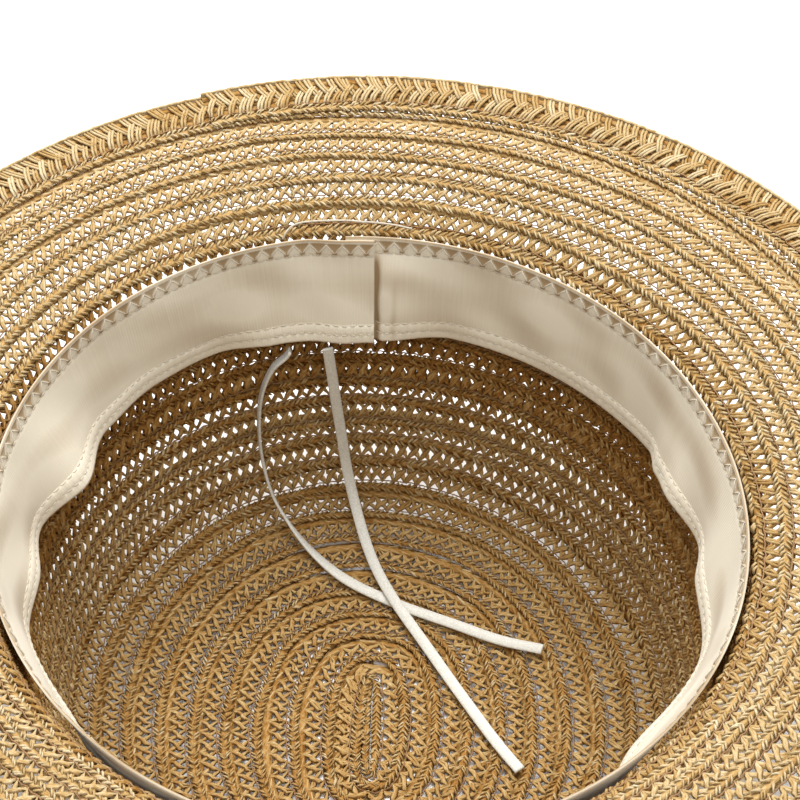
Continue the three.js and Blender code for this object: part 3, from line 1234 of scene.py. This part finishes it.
@dataclass
class Sweatband:
    """The ribbon round the opening: lapped at the back, hemmed and drawn in at its free edge.

    Along is millimetres from the seam, and down is millimetres from the ribbon's top edge. The row
    stretches say from where, to where and how close its rows of points lie: close where stitches
    are, wide between them.
    """

    form: HatForm
    width: float = 26.5
    top_drop: float = -0.9
    thickness: float = 0.55
    hem_width: float = 4.6
    hem_span: Span = (-0.4, 0.3)
    hem_thicker: float = 0.25
    hem_swell: float = 0.14
    gather_pitch: float = 2.3
    gather_depth: float = 0.05
    clearance: float = 0.9
    seam_degrees: float = 88.5
    lap_degrees: float = 5
    lap_ramp_degrees: float = 8
    lap_rise: float = 1.9
    mm_per_degree: float = 1.507
    lean_bend: float = 1.6
    dent_slant: float = 0.7
    seam_stand: float = 1.1
    seam_stand_span: Span = (-22, -4)
    seam_stand_down: Span = (3, 9)
    seam_dip: float = -0.3
    seam_dip_width: float = 1.3
    probe_down: float = 0.2
    probe_angle: float = 0.002
    zigzag_pitch: float = 4.2
    zigzag_top: float = 1.0
    zigzag_low: float = 3.2
    zigzag_shares: tuple[float, ...] = (0, 0.12, 0.5, 0.88, 1)
    zigzag_heights: tuple[float, ...] = (-0.15, 0.16, 0.2, 0.16, -0.15)
    pocket_depth: float = 0.3
    pocket_edge: Span = (-0.05, 0.3)
    pocket_above: float = 0.4
    hole_drop: float = 0.1
    hole_size: float = 0.45
    groove_width: float = 0.28
    groove_depth: float = 0.16
    dash_shares: tuple[float, ...] = (-0.5, -0.25, 0.25, 0.5)
    dash_heights: tuple[float, ...] = (-0.12, 0.14, 0.14, -0.12)
    thread: float = 0.14
    columns: int = 1240
    back_rows: int = 8
    row_stretches: tuple[tuple[float, float, float], ...] = (
        (0, 4.3, 0.3), (5, 20.9, 2), (21.1, 22.6, 0.35), (23.2, 23.9, 0.6), (24.0, 24.8, 0.3))
    last_rows: tuple[float, ...] = (25.3, 26.0, 26.5)
    tones: RibbonTones = RibbonTones()

    @property
    def seam(self) -> float:
        """How far along the seam comes round again."""
        return FULL_DEGREES * self.mm_per_degree

    @property
    def length(self) -> float:
        """The ribbon's length with its lap."""
        return self.seam + self.lap_degrees * self.mm_per_degree

    @property
    def hem(self) -> float:
        """How far down the hem starts."""
        return self.width - self.hem_width

    def middle(self, down: np.ndarray) -> np.ndarray:
        """A smooth share: 1 at the middle of the ribbon's width and nothing at its edges."""
        return np.sin(np.clip(down / self.width, 0, 1) * math.pi)

    def lean(self, degrees: np.ndarray) -> np.ndarray:
        """How far the free edge leans in, eased from pucker to pucker.

        Args:
            degrees: the direction round the opening.

        Returns:
            The lean in millimetres.
        """
        table = [(p.degrees, p.leans_in) for p in PUCKERS]
        table = np.array([*table, (table[0][0] + FULL_DEGREES, table[0][1])])
        place = degrees % FULL_DEGREES
        after = np.clip(np.searchsorted(table[:, 0], place, side="right"), 1, len(table) - 1)
        low, high = table[after - 1], table[after]
        share = ease((place - low[:, 0]) / (high[:, 0] - low[:, 0]), 0, 1)
        return (low[:, 1] + (high[:, 1] - low[:, 1]) * share) * self.width

    def dents(self, along: np.ndarray, down: np.ndarray) -> np.ndarray:
        """How far the whole ribbon stands in from its even lie.

        Args:
            along: places along the ribbon.
            down: places down it.

        Returns:
            The distance in millimetres.
        """
        waves = sum(dent.at(along + self.dent_slant * down) for dent in DENTS)
        past_seam = along - self.seam
        beside = ease(past_seam, *self.seam_stand_span)
        beside *= 1 - bell(past_seam, self.seam_dip, self.seam_dip_width)
        beside *= ease(down, *self.seam_stand_down)
        return waves * self.middle(down) + self.seam_stand * beside

    def place(self, along: np.ndarray, down: np.ndarray, lift: np.ndarray) -> np.ndarray:
        """Points on or off the ribbon's back.

        Args:
            along: millimetres along the ribbon from its seam, past a full turn where it laps.
            down: millimetres down from its top edge.
            lift: millimetres inward from its back.

        Returns:
            The points in millimetres.
        """
        opening, corner = self.form.opening, self.form.corner
        line = (corner - opening) / np.linalg.norm(corner - opening)
        way = self.top_drop + down
        x, y = opening[0] + line[0] * way, opening[1] + line[1] * way
        turned = along / self.mm_per_degree
        degrees = turned + self.seam_degrees
        angle = np.radians(degrees)
        base = self.form.point(angle, x, y)
        lower = self.form.point(angle, x + line[0] * self.probe_down, y + line[1] * self.probe_down)
        onward = self.form.point(angle + self.probe_angle, x, y)
        inward = np.cross(base - lower, onward - base)
        inward = inward / np.linalg.norm(inward, axis=-1, keepdims=True)
        lap_end = self.lap_degrees + self.lap_ramp_degrees
        over = 1 - ease(turned, self.lap_degrees, lap_end)
        share = np.clip(down / self.width, 0, 1)
        under = self.form.wall_reach + self.clearance + over * self.lap_rise + self.dents(along, down)
        return base + inward * (under + lift + self.lean(degrees) * share**self.lean_bend)[..., None]

    def pocket(self, along: np.ndarray, down: np.ndarray) -> np.ndarray:
        """How deep a point lies in one of the pockets between the zigzag's stitches.

        Args:
            along: places along the ribbon.
            down: places down it.

        Returns:
            The depth, 0 to 1.
        """
        beside = np.abs(along / self.zigzag_pitch % 1 - 0.5) * 2
        room = (self.zigzag_low - down) / (self.zigzag_low - self.zigzag_top)
        below_top = ease(down, self.zigzag_top - self.pocket_above, self.zigzag_top)
        return ease(room - beside, *self.pocket_edge) * below_top

    def needle_hole(self, along: np.ndarray, down: np.ndarray) -> np.ndarray:
        """How near a point lies to a needle hole at a low point of the zigzag, 0 to 1."""
        beside = (along / self.zigzag_pitch % 1 - 0.5) * self.zigzag_pitch
        return bell(beside, 0, self.hole_size) * bell(down, self.zigzag_low + self.hole_drop, self.hole_size)

    def groove(self, down: np.ndarray) -> np.ndarray:
        """How near a point lies to one of the straight rows of stitches, 0 to 1."""
        return sum(bell(down, row.down, self.groove_width) for row in STITCH_ROWS)

    def front(self, along: np.ndarray, down: np.ndarray) -> np.ndarray:
        """How far the ribbon's front lies from its back.

        Args:
            along: places along the ribbon.
            down: places down it.

        Returns:
            The distance in millimetres.
        """
        hem = ease(down - self.hem, *self.hem_span)
        swell = hem * np.sin(np.clip((down - self.hem) / self.hem_width, 0, 1) * math.pi)
        gathers = self.gather_depth * swell * np.sin(along * FULL_TURN / self.gather_pitch)
        face = self.thickness + hem * self.hem_thicker + self.hem_swell * swell + gathers
        return face - self.pocket_depth * self.pocket(along, down) - self.groove_depth * self.groove(down)

    def tone(self, along: np.ndarray, down: np.ndarray) -> np.ndarray:
        """The tint of the ribbon's front, with painted shade in its pockets, needle holes, stitch grooves and
        folds, a painted shadow beside the seam and painted shade on its top edge.

        Args:
            along: places along the ribbon.
            down: places down it.

        Returns:
            The tint.
        """
        tones = self.tones
        shadow = sum(line.strength * bell(along, self.seam + line.beside, line.width) * ease(down, *line.span)
                     for line in SEAM_LINES)
        folds = tones.folds_middle + FOLDS[0].at(along, down) * FOLDS[1].at(along, down)
        # Painted shade in the pockets, stitch grooves, needle holes and folds and on the top edge; the hem is
        # lighter.
        tint = tones.plain - tones.pocket * self.pocket(along, down) - tones.groove * self.groove(down)
        tint += tones.hem * ease(down - self.hem, 0, tones.hem_span) - tones.seam * shadow
        tint -= tones.painted_top_edge_shade * (1 - ease(down, *tones.painted_top_edge_shade_span))
        return tint - tones.hole * self.needle_hole(along, down) - tones.folds * folds * self.middle(down)

    def carry(self, places: np.ndarray) -> np.ndarray:
        """Carries points from the flat ribbon's front to their place in the hat.

        Args:
            places: rows of millimetres along the ribbon, down from its top edge and out of its front.

        Returns:
            The points in millimetres.
        """
        along, down, up = places[:, 0], places[:, 1], places[:, 2]
        return self.place(along, down, self.front(along, down) + up)

    def grid(self, levels: np.ndarray) -> tuple[np.ndarray, np.ndarray]:
        """The places of the points of one side of the ribbon.

        Args:
            levels: how far down its rows lie.

        Returns:
            How far along and how far down each point lies.
        """
        along, down = np.meshgrid(np.linspace(0, self.length, self.columns), levels, indexing="ij")
        return along.reshape(-1), down.reshape(-1)

    def grid_faces(self, rows: int) -> np.ndarray:
        """The faces of one side of the ribbon.

        Args:
            rows: how many rows of points it has.

        Returns:
            Four point numbers a face.
        """
        column, row = np.meshgrid(np.arange(self.columns - 1), np.arange(rows - 1), indexing="ij")
        first = (column * rows + row).reshape(-1)
        return np.stack([first, first + rows, first + rows + 1, first + 1], -1)

    def build(self) -> bpy.types.Object:
        """Makes the ribbon as a closed strip with a thicker hem.

        Returns:
            The new object.
        """
        levels = np.concatenate([*(np.arange(*stretch) for stretch in self.row_stretches), self.last_rows])
        rows = len(levels)
        along, down = self.grid(levels)
        back_along, back_down = self.grid(np.linspace(0, self.width, self.back_rows))
        front = self.place(along, down, self.front(along, down))
        back = self.place(back_along, back_down, 0 * back_down)
        count = len(front)
        column = np.arange(self.columns - 1)
        edges = []
        for row, back_row in ((0, 0), (rows - 1, self.back_rows - 1)):
            near, far = column * rows + row, count + column * self.back_rows + back_row
            edges.append(np.stack([near, far, far + self.back_rows, near + rows], -1))
        faces = np.vstack([self.grid_faces(rows), self.grid_faces(self.back_rows)[:, ::-1] + count,
                           edges[0], edges[1][:, ::-1]])
        fibres = np.vstack([np.stack([along, down], -1), np.stack([back_along, back_down], -1)])
        tint = np.concatenate([self.tone(along, down), np.full(len(back), self.tones.back)])
        piece = quad_mesh("sweatband_ribbon", np.vstack([front, back]) * MM, faces,
                          fibres[faces].reshape(-1, 2), tint)
        finish_faces(piece, open_ends=True)
        return declare(piece, "sweatband")

    def stitches(self) -> bpy.types.Object:
        """Makes the zigzag along the top edge, the straight row under it and the two rows of the hem.

        Returns:
            The new object.
        """
        weave = Weave()
        share = np.array(self.zigzag_shares)
        middles = np.arange(int(self.length / self.zigzag_pitch))[:, None] + 0.5
        down = self.zigzag_low + (self.zigzag_top - self.zigzag_low) * share
        lines = [coordinates((middles + side * 0.5 * share) * self.zigzag_pitch, down, self.zigzag_heights)
                 for side in (-1, 1)]
        for row in STITCH_ROWS:
            middles = np.arange(int(self.length / row.pitch))[:, None] + 0.5
            lines.append(coordinates(middles * row.pitch + np.array(self.dash_shares) * row.length,
                                     row.down, self.dash_heights))
        for line in lines:
            half = np.full(line.shape[:2], self.thread)
            weave.run(line, half, half, 4, 0 * half)
        piece = weave.mesh("sweatband_stitches", self)
        finish_faces(piece)
        return declare(piece)


LEFT_TAPE = (
    (-0.0217, 0.0790, 0.0566), (-0.0228, 0.0788, 0.0549), (-0.0262, 0.0782, 0.0514),
    (-0.0292, 0.0774, 0.0440), (-0.0305, 0.0766, 0.0340), (-0.0302, 0.0746, 0.0236),
    (-0.0276, 0.0700, 0.0142), (-0.0230, 0.0646, 0.0090), (-0.0174, 0.0588, 0.0056),
    (-0.0090, 0.0508, 0.0044), (0.0034, 0.0438, 0.0034), (0.0190, 0.0362, 0.0038),
    (0.0302, 0.0308, 0.0042), (0.0404, 0.0270, 0.0053),
)
RIGHT_TAPE = (
    (-0.0124, 0.0789, 0.0575), (-0.0118, 0.0789, 0.0502), (-0.0110, 0.0787, 0.0400),
    (-0.0100, 0.0778, 0.0296), (-0.0088, 0.0756, 0.0190), (-0.0068, 0.0704, 0.0114),
    (-0.0036, 0.0608, 0.0062), (-0.0002, 0.0516, 0.0052), (0.0046, 0.0416, 0.0049),
    (0.0116, 0.0300, 0.0037), (0.0203, 0.0146, 0.0035), (0.0296, -0.0014, 0.0037),
    (0.0346, -0.0090, 0.0039),
)
LOOSE_THREAD = (
    (-0.0226, 0.0884, 0.0846), (-0.0222, 0.0887, 0.0855), (-0.0217, 0.0891, 0.0862),
    (-0.0211, 0.0897, 0.0867), (-0.0203, 0.0903, 0.0871), (-0.0192, 0.0907, 0.0874),
    (-0.0175, 0.0910, 0.0877), (-0.0141, 0.0912, 0.0879), (-0.0112, 0.0914, 0.0879),
    (-0.0088, 0.0913, 0.0880), (-0.0062, 0.0911, 0.0881), (-0.0036, 0.0908, 0.0880),
    (-0.0012, 0.0906, 0.0880), (0.0018, 0.0903, 0.0879), (0.0050, 0.0898, 0.0877),
    (0.0086, 0.0890, 0.0873),
)


@dataclass(frozen=True)
class Twist:
    """How far a tape is turned about its own run at a share of its length."""

    share: float
    degrees: float


@dataclass
class LooseEnd:
    """A loose flat tape or thread: a smooth route, and a section that is carried along it.

    The section's points are shares of half the width and half the thickness, and those higher
    than the thickness are ribbed.
    """

    name: str
    route: tuple[Triple, ...]
    length: float
    node: str = ""
    slot: Slot = Slot.TAPE
    width: float = 3.0
    shown_width: float = 2.7
    thickness: float = 0.75
    step: float = 0.45
    steps_between: int = 60
    twists: tuple[Twist, ...] = (Twist(0, 0), Twist(1, 0))
    facing: Triple = (0, 22.3, 58.6)
    wide: tuple[float, ...] = (-1, -0.94, -0.55, -0.3, 0.3, 0.55, 0.94, 1, 0.94, 0.3, -0.3, -0.94)
    high: tuple[float, ...] = (0, 0.8, 0.85, 1.2, 1.2, 0.85, 0.8, 0, -0.8, -0.85, -0.85, -0.8)
    rib_height: float = 0.22
    rib_pitch: float = 1.15
    tint: float = 0.5

    def line(self) -> np.ndarray:
        """The middle line, one smooth curve through the route.

        Returns:
            Close points in millimetres.
        """
        points = np.array(self.route) / MM
        chord = np.sqrt(np.linalg.norm(np.diff(points, axis=0), axis=1))
        knots = np.concatenate([[0], np.cumsum(chord)])
        padded = np.vstack([2 * points[0] - points[1], points, 2 * points[-1] - points[-2]])
        spread = np.concatenate([[-chord[0]], knots, [knots[-1] + chord[-1]]])
        curve = []
        for span in range(len(points) - 1):
            p, t = padded[span:span + 4], spread[span:span + 4]
            at = np.linspace(t[1], t[2], self.steps_between)[:, None]
            a = [p[i] + (p[i + 1] - p[i]) * (at - t[i]) / (t[i + 1] - t[i]) for i in range(3)]
            b = [a[i] + (a[i + 1] - a[i]) * (at - t[i]) / (t[i + 2] - t[i]) for i in range(2)]
            curve.append(b[0] + (b[1] - b[0]) * (at - t[1]) / (t[2] - t[1]))
        dense = np.vstack(curve)
        way = np.concatenate([[0], np.cumsum(np.linalg.norm(np.diff(dense, axis=0), axis=1))])
        even = np.linspace(0, way[-1], int(way[-1] / self.step))
        return np.stack([np.interp(even, way, dense[:, axis]) for axis in range(3)], -1)

    def section(self, stations: int) -> tuple[np.ndarray, np.ndarray]:
        """The section at each station: flat, with a raised ribbed middle.

        Args:
            stations: how many stations there are.

        Returns:
            Its points across the run, and up from it at each station.
        """
        wide, high = np.array(self.wide), np.array(self.high)
        ribs = 1 + self.rib_height * np.sin(np.arange(stations) * FULL_TURN * self.step / self.rib_pitch)
        height = np.where(high > 1, high * ribs[:, None], high)
        return wide * self.shown_width / 2, height * self.thickness / 2

    def build(self) -> bpy.types.Object:
        """Returns:
            The new object.
        """
        line = self.line()
        run = np.gradient(line, axis=0)
        run /= np.linalg.norm(run, axis=1, keepdims=True)
        across = np.cross(run, np.array(self.facing) - line)
        across /= np.linalg.norm(across, axis=1, keepdims=True)
        up = np.cross(across, run)
        up *= np.sign(np.einsum("ij,ij->i", up, np.array(self.facing) - line))[:, None]
        share = np.linspace(0, 1, len(line))
        turned = np.interp(share, [t.share for t in self.twists], [t.degrees for t in self.twists])
        twist = np.radians(turned)[:, None]
        across, up = across * np.cos(twist) + up * np.sin(twist), up * np.cos(twist) - across * np.sin(twist)
        wide, height = self.section(len(line))
        points = line[:, None] + across[:, None] * wide[None, :, None] + up[:, None] * height[..., None]
        faces = tube_faces(len(line), len(wide))
        way = np.arange(len(line)) * self.step
        coordinate = np.stack(np.broadcast_arrays(way[:, None], wide[None, :]), -1).reshape(-1, 2)
        piece = quad_mesh(self.name, points.reshape(-1, 3) * MM, faces, coordinate[faces].reshape(-1, 2),
                          np.full(height.size, self.tint))
        finish_faces(piece, open_ends=True)
        declare(piece, self.node)
        return piece


@dataclass
class LooseThread(LooseEnd):
    """A stray end of sewing thread on the brim."""

    slot: Slot = Slot.RIBBON
    width: float = 0.5
    step: float = 0.4
    sides: int = 8

    def section(self, stations: int) -> tuple[np.ndarray, np.ndarray]:
        """A round section.

        Args:
            stations: how many stations there are.

        Returns:
            Its points across the run, and up from it at each station.
        """
        turn = np.arange(self.sides) / self.sides * FULL_TURN
        return np.cos(turn) * self.width / 2, np.tile(np.sin(turn) * self.width / 2, (stations, 1))


def finish_faces(piece: bpy.types.Object, open_ends: bool = False) -> None:
    """Turns all faces of a piece outwards.

    Args:
        piece: the piece.
        open_ends: whether it is a tube whose ends have to be filled first.
    """
    bpy.ops.object.select_all(action="DESELECT")
    bpy.context.view_layer.objects.active = piece
    piece.select_set(True)
    bpy.ops.object.mode_set(mode="EDIT")
    if open_ends:
        bpy.ops.mesh.select_all(action="DESELECT")
        bpy.ops.mesh.select_non_manifold()
        bpy.ops.mesh.fill_holes(sides=0)
    bpy.ops.mesh.select_all(action="SELECT")
    bpy.ops.mesh.normals_make_consistent(inside=False)
    bpy.ops.object.mode_set(mode="OBJECT")
    piece.select_set(False)


@dataclass(frozen=True)
class Lamp:
    """A square lamp: its place and size in metres and its power in watts."""

    name: str
    place: Triple
    size: float
    power: float


@dataclass(frozen=True)
class Studio:
    """The camera, a white floor and soft light from above and behind."""

    image_width: float = 800
    focal_pixels: float = 2600
    elevation: float = 0.7679
    yaw: float = 0.0403
    roll: float = -0.0257
    distance: float = 650.22
    target: Triple = (5.07, 78.79, 40)
    sensor_width: float = 36
    view_end: float = 20
    floor_size: float = 6
    floor_white: float = 0.93
    floor_roughness: float = 0.9
    floor_shine: float = 0.1
    sky: float = 0.48
    lamps: tuple[Lamp, ...] = (
        Lamp("key", (-0.03, 0.75, 1.65), 1.3, 44), Lamp("fill", (0.2, -0.9, 1.6), 1.4, 9))
    lamps_aim: Triple = (0, 0, 0.03)
    exposure: float = 0.2

    def camera(self) -> None:
        """Sets up the camera at the photo's angle."""
        data = bpy.data.cameras.new("camera")
        data.sensor_width = self.sensor_width
        data.lens = self.focal_pixels * data.sensor_width / self.image_width
        data.clip_end = self.view_end
        camera = bpy.data.objects.new("camera", data)
        bpy.context.collection.objects.link(camera)
        back = Vector((math.sin(self.yaw) * math.cos(self.elevation),
                       -math.cos(self.yaw) * math.cos(self.elevation), math.sin(self.elevation)))
        right = (-back).cross(Vector((0, 0, 1))).normalized()
        up = right.cross(-back)
        level = Matrix((right, up, back)).transposed()
        turned = level @ Matrix.Rotation(self.roll, 3, "Z")
        place = (Vector(self.target) + back * self.distance) * MM
        camera.matrix_world = Matrix.Translation(place) @ turned.to_4x4()
        bpy.context.scene.camera = camera

    def floor(self) -> None:
        """Adds a wide white floor."""
        bpy.ops.mesh.primitive_plane_add(size=self.floor_size, location=(0, 0, 0))
        floor = bpy.context.object
        floor.name = "floor"
        finish = Finish("floor", self.floor_roughness)
        finish.set("Base Color", (self.floor_white, self.floor_white, self.floor_white, 1))
        finish.set("Specular IOR Level", self.floor_shine)
        floor.data.materials.append(finish.material)

    def lights(self) -> None:
        """Adds a broad light above and behind, a weak one in front, and a white sky."""
        world = bpy.data.worlds.new("sky")
        bpy.context.scene.world = world
        world.use_nodes = True
        background = world.node_tree.nodes["Background"]
        background.inputs["Color"].default_value = (1, 1, 1, 1)
        background.inputs["Strength"].default_value = self.sky
        for lamp in self.lamps:
            data = bpy.data.lights.new(lamp.name, "AREA")
            data.size = lamp.size
            data.energy = lamp.power
            light = bpy.data.objects.new(lamp.name, data)
            bpy.context.collection.objects.link(light)
            light.location = lamp.place
            aim = Vector(self.lamps_aim) - Vector(lamp.place)
            light.rotation_euler = aim.to_track_quat("-Z", "Y").to_euler()

    def develop(self) -> None:
        """Sets how the picture is developed."""
        view = bpy.context.scene.view_settings
        view.view_transform = "Standard"
        view.look = "None"
        view.exposure = self.exposure


@dataclass(frozen=True)
class Cuts:
    """The turns at which one piece of straw ends and the next one starts."""

    tip_end: float = 9
    wall_middle: float = 14.6
    wall_end: float = 20.2
    brim_middle: float = 22.9


def report(piece: bpy.types.Object) -> None:
    """Logs a piece and how many triangles it has."""
    triangles = sum(len(face.vertices) - 2 for face in piece.data.polygons)
    log.info("%s: %d triangles", piece.name, triangles)


def main() -> None:
    """Builds the hat, its ribbon, its tapes and the studio."""
    logging.basicConfig(level=logging.INFO, format="%(message)s")
    studio = Studio()
    studio.camera()
    tape = TapeFinish().make()
    cream = ThreadFinish("cream_thread", (0.64, 0.565, 0.44)).make()
    edge_on = (Twist(0, 78), Twist(0.40, 74), Twist(0.58, 12), Twist(1, 0))
    for loose, finish in (
        (LooseEnd("tape_left", LEFT_TAPE, 0.130, "draw_tape_left", twists=edge_on), tape),
        (LooseEnd("tape_right", RIGHT_TAPE, 0.139, "draw_tape_right"), tape),
        (LooseThread("loose_thread", LOOSE_THREAD, 0.033), cream),
    ):
        piece = loose.build()
        piece.data.materials.append(finish)
        report(piece)
    form = HatForm()
    lay = BraidLay(form)
    straw = StrawFinish().make()
    braid = StrawBraid(lay)
    rim = RimBraid(lay)
    cuts = Cuts()
    for piece in (
        braid.build("straw_tip", "crown_tip", lay.first_turn, cuts.tip_end),
        braid.build("straw_side_lower", "crown_side", cuts.tip_end, cuts.wall_middle, Openness.CLOSE),
        braid.build("straw_side_upper", "crown_side", cuts.wall_middle, cuts.wall_end, Openness.CLOSE),
        braid.build("straw_brim_inner", "brim", cuts.wall_end, cuts.brim_middle),
        braid.build("straw_brim_outer", "brim", cuts.brim_middle, lay.rim_turn),
        rim.build("straw_rim", "rim_braid", lay.rim_turn, lay.last_turn),
    ):
        piece.data.materials.append(straw)
        report(piece)
    band = Sweatband(form)
    ribbon, stitches = band.build(), band.stitches()
    ribbon.data.materials.append(RibbonFinish().make())
    stitches.data.materials.append(cream)
    report(ribbon)
    report(stitches)
    studio.floor()
    studio.lights()
    studio.develop()


if __name__ == "__main__":
    main()
